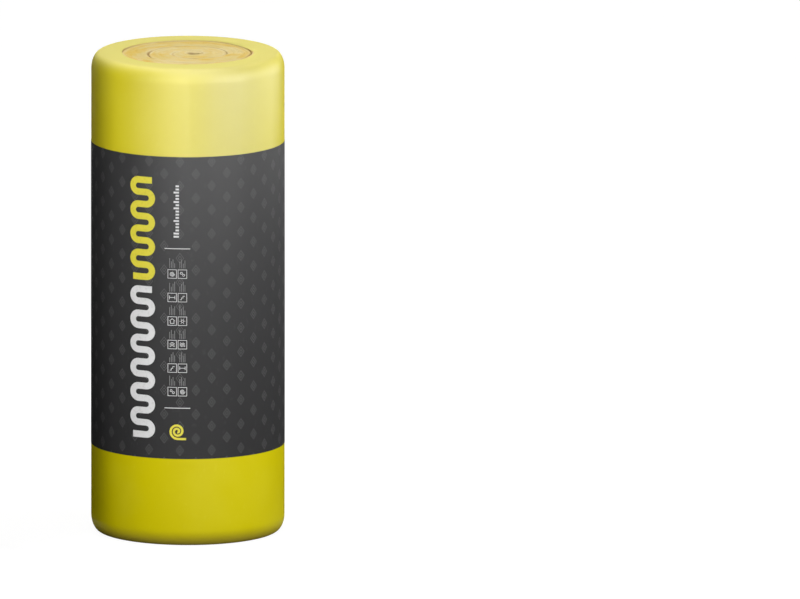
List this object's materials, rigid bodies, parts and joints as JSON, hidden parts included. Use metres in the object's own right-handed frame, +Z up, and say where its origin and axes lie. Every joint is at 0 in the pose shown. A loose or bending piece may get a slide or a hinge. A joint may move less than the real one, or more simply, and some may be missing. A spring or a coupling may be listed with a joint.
{
  "type": "insulation roll",
  "caption": "Glass-wool insulation mat wound into a tall roll and packed in a tight film sleeve with a printed band, standing on end with the turns showing in each end opening.",
  "frame": {"origin": "centre of the lower end, on the floor", "axes": "+Z up along the roll's axis; -Y is the side that carries the print"},
  "size_m": [0.4788, 0.4788, 1.2008],
  "materials": {
    "glass_wool": "matt fibrous glass wool",
    "packaging_film": "satin polyethylene film, dyed yellow",
    "printed_band": "satin printed film, dark grey"
  },
  "bodies": {
    "root": {"wool_roll": "glass_wool", "film_sleeve": "packaging_film", "label_band": "printed_band"}
  },
  "joints": []
}
